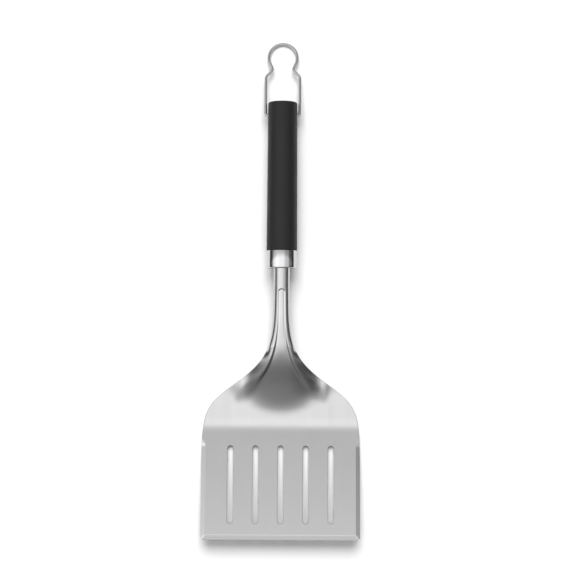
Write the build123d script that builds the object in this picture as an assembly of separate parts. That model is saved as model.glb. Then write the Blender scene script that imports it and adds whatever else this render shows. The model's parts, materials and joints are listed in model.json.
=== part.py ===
"""Grill spatula: a slotted steel turner with a round soft grip and a swinging hanging loop.

Everything is designed in the tool's own frame: X across the blade, Y from the blade's front edge
towards the hand, Z up from the blade's top face. At the end it is set down as it lies on a table,
on the heel of the blade and the end of the grip, with the origin under the middle of its outline.
"""

from build123d import *
import math
import os

# --- Stamped head: one sheet, flat at the blade and rolled into a tube at the neck ---
SHEET = 1.5  # sheet thickness
BLADE_HALF = 65.4  # half the blade's width
PLATE_END = 84.0  # length of the flat blade
CORNER = 3.0  # plan radius of the two front corners
SHOULDER_MID = 128.4  # where the outline is halfway between blade and neck
SHOULDER_SOFT = (9.4, 10.2)  # softness of that outline on its blade side and its neck side
NECK_R = 6.75  # outside radius of the rolled neck
SHANK_START = 212.0  # the neck is an exact round tube from here on
SEAM_ANGLE = 173.0  # how far round each edge of the sheet is rolled, from the crest

HEEL_ANGLE = 11.0  # first bend, right across the sheet
STEEP_ANGLE = 38.0  # steepest rise of the crest
GRIP_ANGLE = 8.0  # rise of the neck and the grip
HEEL_BEND = (86.0, 103.0)  # stations where each bend starts and ends
STEEP_BEND = (97.0, 122.0)
NECK_BEND = (129.0, 163.0)
NECK_EASE = 3.5  # the neck starts this much steeper than the grip, in degrees
NECK_EASE_END = 206.0
TUBE_SPAN = (130.0, 188.0)  # where the open section turns into a tube
TOE_R = 43.5  # plan radius of the line where the steep rise starts
TOE_BOW = 9.3  # how much later the rise starts away from the middle
EAR_SPAN = (30.0, 39.0)  # where the rise's toe comes forward again, from the middle
EAR_REACH = 3.2
RIDGE_SHARES = (0.70, 0.52)  # ridge between crest and flank, at the ear and at the neck
RIDGE_SPAN = (122.0, 146.0)
RIDGE_ROUND = 0.045  # softness of the ridge, as a share of the half width
FLANK_SLOPE = 0.46  # fall of the flank outside the ridge, per unit of width
KNEE = 4  # sharpness of the flank's foot
STEP = 0.05  # spacing of the stations at which the heights are summed
HEIGHTS_END = 260.0
SOFT_SPAN = (100.0, 160.0)  # where the outline's softness changes over
ROUND_OUT = 25.0  # the outline reaches the tube's width over this length
BOW_LIMIT = 8  # sharpness of the turn from the toe's arc to its even part

# --- Groove pressed into the crest ---
GROOVE_DEPTHS = (1.5, 0.7)  # at the shoulder and at the neck
GROOVE_TAPER = (140.0, 190.0)  # where it changes from the one to the other
GROOVE_COLUMN = 0.4  # the groove's wall follows this column of the sheet
GROOVE_SHARES = (0.56, 0.44)  # wall position as a share of the half width, at shoulder and at neck
GROOVE_WALL = (0.72, 1.12)  # the wall's foot and top, as shares of the groove's half width
GROOVE_FADE = (108.0, 132.0)  # where the groove runs out into the blade
GROOVE_END = 201.7  # round upper end of the groove
UNDER_WALL = 0.8  # the wall is this much nearer the middle when measured on the under face

# --- Slots and ground edges ---
SLOT_COUNT = 5
SLOT_PITCH = 20.7
SLOT_WIDTH = 4.8
SLOT_SPAN = (13.6, 77.4)
SLOT_EDGE = 0.3
FRONT_BEVEL = 4.2
FRONT_BEVEL_ANGLE = 13.4
SIDE_BEVEL = 3.5
SIDE_BEVEL_ANGLE = 17.0
SIDE_BEVEL_END = 76.0
RUN_OUT_R = 16.0

# --- Handle, measured along its axis from the ferrule's lower face ---
FERRULE_AT = 218.1  # the crest station at the ferrule's lower face
FERRULE_R = 12.4
FERRULE_LEN = 14.6
FERRULE_FLOOR = 1.6
FERRULE_EDGE = 1.0
GRIP_R = (12.5, 11.9)  # outside radius at the ferrule and at the far end
GRIP_END = 136.3
GRIP_FILLET = 1.6
CORE_R = 10.2
CORE_END = 134.0
SHANK_END = 24.0  # the rolled neck stops here, inside the core
ROD_START = -7.0
ROD_R = 3.5
THREAD_R = 3.0
SEAT = 104.0  # floor of the nut well, where the washer sits
ROD_END = 115.5
WELL_R = 7.0
PLUG_R = 8.5
PLUG_START = 118.0
PLUG_END = 135.9
SLIDE_GAP = 0.08  # radial clearance of parts that slide together
PRESS_GAP = 0.03  # radial clearance of the tang in the rolled neck before it is pinned
END_CHAMFER = 0.8  # on the thread's end
PLUG_HOLLOW = (5.5, 11.0)  # radius and depth of the hollow over the thread's end
PLUG_EDGE = 0.6
PLUG_DISH_R = 6.2
GRIP_NEAR_FILLET = 0.35
GRIP_HOLE_GAP = 0.35  # the soft grip stays this clear of the wire
PIN_AT = 19.0
PIN_R = 1.5
PIN_WALL = 0.45
PIN_SLIT = 0.7
PIN_SHORT = 0.7  # how far each end of the pin stays inside the core
WASHER = (6.2, 1.2)  # outside radius and height
SPRING_WASHER = (5.6, 1.4)
WASHER_HOLES = (0.2, 0.25)  # radial clearance of each washer on the thread
NUT_HALF = 5.0  # half the distance across its flats
NUT_LEN = 5.0
NUT_CORNER_R = 5.75
NUT_EDGE = 0.5

# --- Hanging loop ---
WIRE_R = 1.2
PIVOT_AT = 125.0
LOOP_HALF = 14.0
LOOP_STUB = 6.0  # how near the axis the wire's ends reach
LOOP_TOP_R = 11.7
LOOP_TOP_AT = 49.8  # centre of the top ring, from the pivot
LOOP_TOP_ANGLE = 205.0  # where the top ring's arc starts
LOOP_THROAT = 6.0  # straight run from the top ring to the pinch
LOOP_BENDS = (2.6, 5.0, 3.0)  # bend radii at the foot, the shoulder and the pinch
TURN_GAP = 0.06  # radial clearance of the wire in its holes


def smooth(start, end, at):
    """0 before start, 1 after end, and a quintic step between them."""
    t = min(1.0, max(0.0, (at - start) / (end - start)))
    return t * t * t * (10 - 15 * t + 6 * t * t)


def blend(pair, share):
    """From pair's first value to its second as share goes from 0 to 1."""
    return pair[0] + (pair[1] - pair[0]) * share


def heel_angle(s):
    """Rise of the heel's plane at station s, in degrees: level on the blade, then constant."""
    return HEEL_ANGLE * smooth(*HEEL_BEND, s)


def crest_angle(s):
    """Rise of the crest at station s, in degrees: heel bend, steep rise, then the neck."""
    angle = heel_angle(s) + (STEEP_ANGLE - HEEL_ANGLE) * smooth(*STEEP_BEND, s)
    angle -= (STEEP_ANGLE - GRIP_ANGLE - NECK_EASE) * smooth(*NECK_BEND, s)
    return angle - NECK_EASE * smooth(NECK_BEND[1], NECK_EASE_END, s)


def running_height(angle):
    """Heights at every STEP from the first bend on: the sum of the rise by the midpoint rule."""
    heights = [0.0]
    for i in range(round((HEIGHTS_END - HEEL_BEND[0]) / STEP)):
        rise = math.radians(angle(HEEL_BEND[0] + (i + 0.5) * STEP))
        heights.append(heights[-1] + STEP * math.tan(rise))
    return heights


CREST_HEIGHTS = running_height(crest_angle)
HEEL_HEIGHTS = running_height(heel_angle)


def read_off(heights, s):
    """The height at station s, between the two nearest steps."""
    at = max(0.0, (s - HEEL_BEND[0]) / STEP)
    low = int(at)
    return blend(heights[low : low + 2], at - low)


def crest_height(s):
    """Height of the crest above the blade."""
    return read_off(CREST_HEIGHTS, s)


def mound_height(s):
    """How far the crest stands above the heel's plane carried on."""
    return read_off(CREST_HEIGHTS, s) - read_off(HEEL_HEIGHTS, s)


def half_width(s):
    """Half the outline's width: a logistic curve from the blade's width down to the round neck's."""
    soft = blend(SHOULDER_SOFT, smooth(*SOFT_SPAN, s))
    flare = (BLADE_HALF - NECK_R) / (1 + math.exp((s - SHOULDER_MID) / soft))
    return NECK_R + flare * (1 - smooth(SHANK_START - ROUND_OUT, SHANK_START, s))


def toe_bow(x):
    """How much later the steep rise starts at x: an arc's sagitta x^2 / 2R, held back at the ears."""
    arc = x**2 / (2 * TOE_R)
    held = arc / (1 + (arc / TOE_BOW) ** BOW_LIMIT) ** (1 / BOW_LIMIT)
    return held - EAR_REACH * smooth(*EAR_SPAN, x)


def flared_drop(s, r):
    """Fall below the crest at share r of the half width, where the head is still open.

    The mound rises along its bowed toe. Outside the ridge a straight flank cuts it, and no part falls
    below the heel's plane.
    """
    width = half_width(s)
    mound = mound_height(s - toe_bow(width * r))
    ridge = blend(RIDGE_SHARES, smooth(*RIDGE_SPAN, s))
    past = RIDGE_ROUND * math.log1p(math.exp((r - ridge) / RIDGE_ROUND))
    fall = FLANK_SLOPE * width * past
    cut = fall / (mound**KNEE + fall**KNEE) ** (1 / KNEE)
    return mound_height(s) - mound * (1 - cut)


def section(s, columns):
    """(x, drop, share) for each column of half the sheet: how far out, how far below the crest, and r.

    r runs from 0 at the middle to 1 at the edge as a*q + (1 - a)*q^3. The tube is an arc, and its
    share of the mix grows along the neck. The factor a is found so that the groove's wall stays on
    its own column.
    """
    tube = smooth(*TUBE_SPAN, s)
    width = half_width(s)
    wall_share = blend(GROOVE_SHARES, smooth(*GROOVE_TAPER, s))

    def share(q, a):
        return a * q + (1 - a) * q**3

    def out(r):
        return (1 - tube) * width * r + tube * NECK_R * math.sin(math.radians(SEAM_ANGLE) * r)

    low, high = 0.05, 1.49
    widest = max(out(i / 100) for i in range(101))
    for _ in range(40):
        a = (low + high) / 2
        if out(share(GROOVE_COLUMN, a)) < wall_share * widest:
            low = a
        else:
            high = a
    rows = []
    for q in columns:
        r = share(q, a)
        tube_drop = NECK_R * (1 - math.cos(math.radians(SEAM_ANGLE) * r))
        rows.append((out(r) * width / widest, blend((flared_drop(s, r), tube_drop), tube), r))
    return rows, share(GROOVE_COLUMN, a)


def groove(s, share_of_wall):
    """Depth of the groove where the column is share_of_wall of the way out to its wall."""
    half = GROOVE_SHARES[1] * NECK_R
    distance = math.hypot(share_of_wall, max(0.0, s - GROOVE_END + half) / half)
    depth = blend(GROOVE_DEPTHS, smooth(*GROOVE_TAPER, s)) * smooth(*GROOVE_FADE, s)
    return depth * (1 - smooth(*GROOVE_WALL, distance))


def base_point(s, x, drop):
    """A point of the ungrooved top face, from its section's x and drop."""
    lean = math.radians(GRIP_ANGLE) * smooth(STEEP_BEND[0], NECK_BEND[1], s)
    return Vector(x, s + drop * math.sin(lean), crest_height(s) - drop * math.cos(lean))


def sheet_row(s, columns):
    """Top and under points of the sheet across station s, from one edge to the other."""
    near = 0.05
    here, wall = section(s, columns)
    before, _ = section(s - near, columns)
    after, _ = section(s + near, columns)
    aside, _ = section(s, [q - near / 10 for q in columns])
    top, under = [], []
    for j, (x, drop, r) in enumerate(here):
        point = base_point(s, x, drop)
        along = base_point(s + near, *after[j][:2]) - base_point(s - near, *before[j][:2])
        across = point - base_point(s, *aside[j][:2])
        normal = across.cross(along).normalized()
        top.append(point - normal * groove(s, r / wall))
        under.append(point - normal * (SHEET + groove(s, r / wall * UNDER_WALL)))
    mirrored = [[Vector(-p.X, p.Y, p.Z) for p in reversed(row[1:])] for row in (top, under)]
    return mirrored[0] + top, mirrored[1] + under


COLUMNS = (0, 0.07, 0.14, 0.2, 0.25, 0.29, 0.33, 0.365, 0.4, 0.435, 0.47, 0.51)
COLUMNS += (0.56, 0.62, 0.69, 0.76, 0.83, 0.9, 0.95, 1)


def stations():
    """Where the sheet's sections are taken: closer together over the bends and the groove's end."""
    spans = (
        (PLATE_END, 88.0, 2.0),
        (88.0, 170.0, 3.0),
        (170.0, 194.0, 4.0),
        (194.0, 198.0, 1.0),
        (198.0, 204.0, 0.5),
        (204.0, 208.0, 1.0),
    )
    found = []
    for start, end, step in spans:
        count = round((end - start) / step)
        found += [start + i * (end - start) / count for i in range(count)]
    last = FERRULE_AT + SHANK_END * math.cos(math.radians(GRIP_ANGLE))
    return found + [208.0, 213.0, FERRULE_AT, (FERRULE_AT + last) / 2, last]


def formed_sheet():
    """Shoulder, fluted neck and rolled shank: a skin over the sheet, one under it, and its cut edges."""
    full = [-q for q in reversed(COLUMNS[1:])] + list(COLUMNS)
    rows = [sheet_row(s, COLUMNS) for s in stations()]
    skins, borders = [], []
    for face in (0, 1):
        curves = [Edge.make_spline(row[face], parameters=full) for row in rows]
        skin = Shell.make_loft([Wire([curve]) for curve in curves]).faces()[0]
        skins.append(skin)
        borders.append([nearest_edge(skin, [row[face][k] for row in rows]) for k in (0, -1)])
        borders[-1] += [nearest_edge(skin, rows[k][face]) for k in (0, -1)]
    cut_edges = [Face.make_surface_from_curves(over, below) for over, below in zip(*borders)]
    return Solid(Shell(skins + cut_edges))


def nearest_edge(face, points):
    """The edge of the face that runs through the points."""
    middle = points[len(points) // 2]
    return face.edges().sort_by(lambda edge: edge.distance_to(middle) + edge.distance_to(points[0]))[0]


def flat_blade():
    """The flat plate with its slots, its rounded corners and its ground front and side edges."""
    side = [(half_width(s), s) for s in (0, 21, 42, 63, 75, PLATE_END)]
    slope = (half_width(PLATE_END + 0.5) - half_width(PLATE_END - 0.5), 1)
    right = Edge.make_spline([Vector(*p) for p in side], tangents=[Vector(0, 1), Vector(*slope)])
    left = right.mirror(Plane.YZ)
    front = Edge.make_line((-half_width(0), 0), (half_width(0), 0))
    back = Edge.make_line((-half_width(PLATE_END), PLATE_END), (half_width(PLATE_END), PLATE_END))
    plate = extrude(Face(Wire([front, right, back, left])), -SHEET)
    plate = fillet(plate.edges().filter_by(Axis.Z).group_by(Axis.Y)[0], CORNER)
    slot_len = SLOT_SPAN[1] - SLOT_SPAN[0]
    slots = Locations(*[
        Pos((i - (SLOT_COUNT - 1) / 2) * SLOT_PITCH, sum(SLOT_SPAN) / 2) for i in range(SLOT_COUNT)
    ]).locations
    shape = SlotOverall(slot_len, SLOT_WIDTH, rotation=90)
    plate -= [place * extrude(shape, -2 * SHEET) for place in slots]
    rims = [e for w in plate.faces().sort_by(Axis.Z)[-1].inner_wires() for e in w.edges()]
    plate = chamfer(rims, SLOT_EDGE)
    return plate - front_grind() - side_grind() - side_grind().mirror(Plane.YZ)


def front_grind():
    """The wedge that is ground off the front edge."""
    over = 3.0
    fall = math.tan(math.radians(FRONT_BEVEL_ANGLE))
    low = -(FRONT_BEVEL + over) * fall
    outline = Polyline(
        (FRONT_BEVEL, 0), (-over, low), (-over, over), (FRONT_BEVEL, over), close=True
    )
    return Pos(-1.5 * BLADE_HALF) * extrude(Plane.YZ * make_face(outline), 3 * BLADE_HALF)


def side_grind():
    """The wedge that is ground off the right edge, with the round run-out that the wheel leaves."""
    tilt = math.radians(SIDE_BEVEL_ANGLE)
    outward = Vector(math.cos(tilt), 0, -math.sin(tilt))
    start = Vector(half_width(0) - SIDE_BEVEL, 0, 0)
    cut = Plane(origin=start - outward * 3, x_dir=(0, 1, 0), z_dir=outward)
    reach, over = math.radians(40), 8.0
    end = (SIDE_BEVEL_END + RUN_OUT_R * math.sin(reach), RUN_OUT_R * (1 - math.cos(reach)))
    middle = (
        SIDE_BEVEL_END + RUN_OUT_R * math.sin(reach / 2),
        RUN_OUT_R * (1 - math.cos(reach / 2)),
    )
    outline = Curve() + [
        Line((-over, 0), (SIDE_BEVEL_END, 0)),
        ThreePointArc((SIDE_BEVEL_END, 0), middle, end),
        Line(end, (end[0], over)),
        Line((end[0], over), (-over, over)),
        Line((-over, over), (-over, 0)),
    ]
    return extrude(cut * make_face(outline), 12)


def turned(*profile):
    """A solid turned about the handle's axis from (radius, height) points."""
    outline = Polyline(*[(r, 0, h) for r, h in profile], close=True)
    return revolve(make_face(outline), Axis.Z)


def across(radius, at, inner=0.0, outer=40.0):
    """A pair of cross holes through the handle along X, between inner and outer from its axis."""
    hole = Pos((inner + outer) / 2, 0, at) * Rot(0, 90, 0) * Cylinder(radius, outer - inner)
    return hole + hole.mirror(Plane.YZ)


def make_ferrule():
    hole = NECK_R + SLIDE_GAP
    bore = CORE_R + SLIDE_GAP
    cup = turned(
        (hole, 0), (FERRULE_R, 0), (FERRULE_R, FERRULE_LEN),
        (bore, FERRULE_LEN), (bore, FERRULE_FLOOR), (hole, FERRULE_FLOOR),
    )
    rim = cup.edges().filter_by(GeomType.CIRCLE).group_by(Axis.Z)[0].sort_by(SortBy.RADIUS)[-1]
    return fillet(rim, FERRULE_EDGE)


def make_grip():
    lip = PLUG_R + SLIDE_GAP
    sleeve = turned(
        (CORE_R, FERRULE_LEN), (GRIP_R[0], FERRULE_LEN), (GRIP_R[1], GRIP_END),
        (lip, GRIP_END), (lip, CORE_END), (CORE_R, CORE_END),
    )
    rings = sleeve.edges().filter_by(GeomType.CIRCLE)
    far = rings.group_by(Axis.Z)[-1].sort_by(SortBy.RADIUS)[-1]
    sleeve = fillet(far, GRIP_FILLET)
    near = sleeve.edges().filter_by(GeomType.CIRCLE).group_by(Axis.Z)[0].sort_by(SortBy.RADIUS)[-1]
    sleeve = fillet(near, GRIP_NEAR_FILLET)
    return sleeve - across(WIRE_R + GRIP_HOLE_GAP, PIVOT_AT)


def make_core():
    shank = NECK_R + SLIDE_GAP
    rod = ROD_R + SLIDE_GAP
    core = turned(
        (shank, FERRULE_FLOOR), (CORE_R, FERRULE_FLOOR), (CORE_R, CORE_END),
        (PLUG_R, CORE_END), (PLUG_R, PLUG_START), (WELL_R, PLUG_START),
        (WELL_R, SEAT), (rod, SEAT), (rod, SHANK_END), (shank, SHANK_END),
    )
    return core - across(WIRE_R + TURN_GAP, PIVOT_AT) - across(PIN_R, PIN_AT)


def make_plug():
    """Press-in end plug: a dished face, a hollow underside, and blind holes for the wire's ends."""
    hollow_r, depth = PLUG_HOLLOW
    dish = PLUG_END - PLUG_EDGE
    plug = turned(
        (0, PLUG_START + depth), (hollow_r, PLUG_START + depth), (hollow_r, PLUG_START),
        (PLUG_R, PLUG_START), (PLUG_R, dish), (PLUG_R - PLUG_EDGE, PLUG_END),
        (PLUG_DISH_R, PLUG_END), (PLUG_DISH_R - 1, dish), (0, dish),
    )
    return plug - across(WIRE_R + TURN_GAP, PIVOT_AT)


def make_rod():
    """Steel tang: a fat foot pressed into the rolled neck, a plain rod and a threaded end."""
    foot = NECK_R - SHEET - PRESS_GAP
    rod = turned(
        (0, ROD_START), (foot - 1, ROD_START), (foot, ROD_START + 1), (foot, SHANK_END),
        (ROD_R, SHANK_END), (ROD_R, SEAT), (THREAD_R, SEAT),
        (THREAD_R, ROD_END - END_CHAMFER), (THREAD_R - END_CHAMFER, ROD_END), (0, ROD_END),
    )
    return rod - across(PIN_R, PIN_AT)


def make_pin():
    """Slotted spring pin across the core, the rolled neck and the tang."""
    length = 2 * (CORE_R - PIN_SHORT)
    tube = Cylinder(PIN_R, length) - Cylinder(PIN_R - PIN_WALL, length)
    tube -= Pos(PIN_R) * Box(PIN_R * 2, PIN_SLIT, length)
    return Pos(0, 0, PIN_AT) * Rot(0, 90, 0) * tube


def make_washer():
    radius, height = WASHER
    ring = Cylinder(radius, height) - Cylinder(THREAD_R + WASHER_HOLES[0], height)
    return Pos(0, 0, SEAT + height / 2) * ring


def make_spring_washer():
    """Split ring, cut through at a slant."""
    radius, height = SPRING_WASHER
    ring = Cylinder(radius, height) - Cylinder(THREAD_R + WASHER_HOLES[1], height)
    split = Pos(radius) * Rot(25, 0, 0) * Box(radius, 0.8, 3 * height)
    return Pos(0, 0, SEAT + WASHER[1] + height / 2) * (ring - split)


def make_nut():
    """Hexagon nut, its corners turned off at both ends."""
    body = extrude(RegularPolygon(NUT_HALF, 6, major_radius=False), NUT_LEN / 2, both=True)
    round_bar = Cylinder(NUT_CORNER_R, NUT_LEN)
    body &= chamfer(round_bar.edges().filter_by(GeomType.CIRCLE), NUT_EDGE)
    seat = SEAT + WASHER[1] + SPRING_WASHER[1]
    return Pos(0, 0, seat + NUT_LEN / 2) * (body - Cylinder(THREAD_R, NUT_LEN))


def make_loop():
    """One length of spring wire in the XY plane, turning about X, its ends pointing inwards."""
    start = math.radians(LOOP_TOP_ANGLE)
    ring_start = (LOOP_TOP_R * math.cos(start), LOOP_TOP_AT + LOOP_TOP_R * math.sin(start))
    pinch = (ring_start[0] - LOOP_THROAT * math.sin(start), ring_start[1] + LOOP_THROAT * math.cos(start))
    shoulder = (-LOOP_HALF, pinch[1] - (LOOP_HALF + pinch[0]))
    side = FilletPolyline(
        (-LOOP_STUB, 0), (-LOOP_HALF, 0), shoulder, pinch, ring_start, radius=list(LOOP_BENDS)
    )
    ring = ThreePointArc(ring_start, (0, LOOP_TOP_AT + LOOP_TOP_R), (-ring_start[0], ring_start[1]))
    path = Wire(side.edges() + [ring.edge()] + side.mirror(Plane.YZ).edges())
    return sweep(Plane(origin=(-LOOP_STUB, 0, 0), z_dir=(-1, 0, 0)) * Circle(WIRE_R), path)


def handle_plane():
    """The handle's frame: Z along its axis, X across the tool, its origin on the ferrule's face."""
    rise = math.radians(GRIP_ANGLE)
    crest = Vector(0, FERRULE_AT, crest_height(FERRULE_AT))
    centre = crest - Vector(0, -math.sin(rise), math.cos(rise)) * NECK_R
    return Plane(origin=centre, x_dir=(1, 0, 0), z_dir=(0, math.cos(rise), math.sin(rise)))


def rest_tilt(handle):
    """How far the tool tips back, in degrees, until its heel and the grip's end both touch the table."""
    heel = [p for s in range(88, 130, 1) for p in sheet_row(float(s), (0, 0.3, 0.6, 0.8, 1))[1]]
    ring_r = GRIP_R[1] - GRIP_FILLET
    ring = handle.origin + handle.z_dir * (GRIP_END - GRIP_FILLET)
    low, high = 0.0, 20.0
    for _ in range(40):
        tilt = (low + high) / 2
        sine, cosine = math.sin(math.radians(tilt)), math.cos(math.radians(tilt))
        heel_low = min(p.Z * cosine - p.Y * sine for p in heel)
        grip_low = ring.Z * cosine - ring.Y * sine
        grip_low -= ring_r * math.cos(math.radians(GRIP_ANGLE - tilt)) + GRIP_FILLET
        if grip_low > heel_low:
            low = tilt
        else:
            high = tilt
    return tilt, heel_low


def build():
    """Every piece where it lies at rest, by name."""
    handle = handle_plane()
    pieces = {
        name: handle * make()
        for name, make in {
            "ferrule": make_ferrule,
            "grip_sleeve": make_grip,
            "handle_core": make_core,
            "end_plug": make_plug,
            "tang_rod": make_rod,
            "spring_pin": make_pin,
            "tang_washer": make_washer,
            "spring_washer": make_spring_washer,
            "tang_nut": make_nut,
        }.items()
    }
    pieces["blade_head"] = flat_blade() + formed_sheet() - handle * across(PIN_R, PIN_AT)
    tilt, floor = rest_tilt(handle)
    set_down = Pos(0, 0, -floor) * Rot(-tilt, 0, 0)
    pivot = (set_down * Pos(*handle.from_local_coords((0, 0, PIVOT_AT)))).position
    reach = LOOP_TOP_AT + LOOP_TOP_R
    droop = math.asin((pivot.Z - WIRE_R) / reach)
    far = pivot.Y + reach * math.cos(droop) + WIRE_R
    near = -SHEET * math.sin(math.radians(tilt))
    centre = Pos(0, -(near + far) / 2, 0)
    placed = {name: centre * set_down * piece for name, piece in pieces.items()}
    placed["hanging_loop"] = centre * Pos(*pivot) * Rot(-math.degrees(droop), 0, 0) * make_loop()
    facts = {
        "tilt_deg": tilt,
        "droop_deg": math.degrees(droop),
        "pivot": tuple((centre * Pos(*pivot)).position),
        "y_shift": -(near + far) / 2,
        "z_shift": -floor,
    }
    return placed, facts


if __name__ == "__main__":
    os.makedirs("parts", exist_ok=True)
    made, facts = build()
    for name, piece in made.items():
        export_step(piece, f"parts/{name}.step")
    print(facts)
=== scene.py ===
# %% [markdown]
# # Grill spatula
# The CAD frame brings the real sizes, the places and the one joint, the swinging hanging loop. Here each
# visible piece is made again as a smooth surface, and every piece gets its finish. The hidden pieces
# inside the handle stay as the CAD made them and only get a material.

# %% Load the frame
import json
import math

import bmesh
import bpy
import numpy as np
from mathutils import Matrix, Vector


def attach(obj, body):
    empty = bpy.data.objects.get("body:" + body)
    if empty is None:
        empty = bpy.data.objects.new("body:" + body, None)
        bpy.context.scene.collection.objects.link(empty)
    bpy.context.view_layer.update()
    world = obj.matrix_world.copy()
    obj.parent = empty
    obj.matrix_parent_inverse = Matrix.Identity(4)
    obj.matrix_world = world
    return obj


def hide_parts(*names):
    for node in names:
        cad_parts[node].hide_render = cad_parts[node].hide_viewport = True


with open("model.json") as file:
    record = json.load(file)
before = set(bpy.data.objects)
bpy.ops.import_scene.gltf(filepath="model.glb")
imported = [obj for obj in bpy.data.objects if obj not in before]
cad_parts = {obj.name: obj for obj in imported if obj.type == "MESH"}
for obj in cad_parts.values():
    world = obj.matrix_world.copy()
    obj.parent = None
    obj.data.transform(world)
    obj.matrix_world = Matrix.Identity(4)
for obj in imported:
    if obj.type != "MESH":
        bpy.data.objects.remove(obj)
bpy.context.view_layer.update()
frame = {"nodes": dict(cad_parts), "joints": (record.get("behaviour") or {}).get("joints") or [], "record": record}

MM = 0.001
mounts = {m["name"]: m for m in frame["record"]["mounts"]}
swing = frame["joints"][0]
print("nodes:", sorted(frame["nodes"]))
print("joint:", swing["name"], "about", swing["axis"])

# %% [markdown]
# ## Two working frames
# The stamped head is easiest to describe as it leaves the press: the blade flat at height zero, Y from
# its front edge towards the hand. The handle is easiest along its own axis. Both frames are found from
# what the CAD record states, so nothing is placed by eye: the blade's top face gives the tilt of the
# whole tool, and the loop's pivot gives the handle's axis.

# %% From the head's frame and the handle's frame to the shared one
GRIP_ANGLE = 8.0  # degrees that the neck and the grip rise above the blade
SHEET = 1.5  # sheet thickness, mm
TOP_MARK = np.array([10.35, 45.0, 0.0])  # where the blade_top mount lies in the head's frame, mm
PIVOT_AT = 125.0  # the loop's pivot along the handle, from the ferrule's lower face, mm

_, slope_y, slope_z = mounts["blade_top"]["axis"]
TILT = math.atan2(slope_y, slope_z)
HEAD_TURN = np.array([[1, 0, 0], [0, math.cos(TILT), math.sin(TILT)], [0, -math.sin(TILT), math.cos(TILT)]])
HEAD_ORIGIN = np.array(mounts["blade_top"]["pos_m"]) - HEAD_TURN @ TOP_MARK * MM

RISE = math.radians(GRIP_ANGLE) - TILT
ALONG = np.array([0.0, math.cos(RISE), math.sin(RISE)])
UPWARD = np.array([0.0, -math.sin(RISE), math.cos(RISE)])
ACROSS = np.array([1.0, 0.0, 0.0])
PIVOT = np.array(swing["pos_m"])
HANDLE_ORIGIN = PIVOT - ALONG * PIVOT_AT * MM


def head_to_world(points):
    """Points in the head's frame, mm, turned by the tilt and moved to the shared frame, m."""
    return points * MM @ HEAD_TURN.T + HEAD_ORIGIN


def handle_to_world(across, upward, along):
    """Distances in the handle's frame, mm, to points in the shared frame, m."""
    across, upward, along = np.broadcast_arrays(across, upward, along)
    spread = across[..., None] * ACROSS + upward[..., None] * UPWARD + along[..., None] * ALONG
    return HANDLE_ORIGIN + spread * MM


print(f"tilt {math.degrees(TILT):.2f} degrees, handle slopes {math.degrees(RISE):.2f}")

# %% [markdown]
# ## Small helpers
# A grid of points becomes a mesh with one call. The faces of a grid are four whole-array slices of the
# vertex numbers, so no loop runs over the vertices. Doubles are merged where a grid closes on itself.


# %% Grids to meshes
def grid_faces(numbers, keep=None):
    """Quads between neighbouring rows and columns of a grid of vertex numbers; keep masks them."""
    quads = np.stack([numbers[:-1, :-1], numbers[:-1, 1:], numbers[1:, 1:], numbers[1:, :-1]], -1)
    return quads.reshape(-1, 4) if keep is None else quads[keep]


def closed(rows):
    """A grid with its first column repeated at the end, so that its rows are loops."""
    return np.concatenate([rows, rows[:, :1]], axis=1)


def make_piece(name, points, faces, material, body, node, slot):
    """Mesh from points and quads, welded and smooth, that rides on a body and stands for a node."""
    mesh = bpy.data.meshes.new(name)
    mesh.from_pydata(points.reshape(-1, 3).tolist(), [], faces.tolist())
    work = bmesh.new()
    work.from_mesh(mesh)
    bmesh.ops.remove_doubles(work, verts=work.verts, dist=2e-7)
    bmesh.ops.dissolve_degenerate(work, edges=work.edges, dist=1e-7)
    bmesh.ops.recalc_face_normals(work, faces=work.faces)
    open_edges = sum(len(edge.link_faces) != 2 for edge in work.edges)
    volume = work.calc_volume()
    work.to_mesh(mesh)
    work.free()
    mesh.shade_smooth()
    mesh.materials.append(material)
    piece = bpy.data.objects.new(name, mesh)
    bpy.context.scene.collection.objects.link(piece)
    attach(piece, body)
    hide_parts(node)
    print(f"{name}: {len(mesh.polygons)} faces, {open_edges} open edges, {volume * 1e9:.0f} mm3")


def smooth_step(start, end, at):
    """0 before start, 1 after end, and the quintic 10t^3 - 15t^4 + 6t^5 between them."""
    t = np.clip((at - start) / (end - start), 0, 1)
    return t**3 * (10 - 15 * t + 6 * t * t)

# %% [markdown]
# ## Shader groups
# Three effects come back on several finishes: long brushing marks, a fine grain, and a slow patchiness
# that handling leaves. They come from two node groups, each with its own scales, built once. A group only
# hands out masks, so the Principled shader stays in each material, where the export can read it.


# %% Node helpers
def add(tree, kind, place, **settings):
    """A node at a place in the tree, with its settings and the values of its inputs."""
    node = tree.nodes.new(kind)
    node.location = place
    inputs = settings.pop("inputs", {})
    for key, value in settings.items():
        setattr(node, key, value)
    for key, value in inputs.items():
        node.inputs[key].default_value = value
    return node


def new_group(name, inputs, outputs):
    """An empty shader node group with float inputs (name, value) and named float outputs."""
    group = bpy.data.node_groups.new(name, "ShaderNodeTree")
    for label, value in inputs:
        socket = group.interface.new_socket(name=label, in_out="INPUT", socket_type="NodeSocketFloat")
        socket.default_value = value
    for label in outputs:
        group.interface.new_socket(name=label, in_out="OUTPUT", socket_type="NodeSocketFloat")
    return group, add(group, "NodeGroupInput", (-900, 0)), add(group, "NodeGroupOutput", (500, 0))


def use_group(tree, group, place, **values):
    """A group placed in a material, with its own values."""
    node = add(tree, "ShaderNodeGroup", place, node_tree=group)
    for key, value in values.items():
        node.inputs[key.replace("_", " ")].default_value = value
    return node


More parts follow.
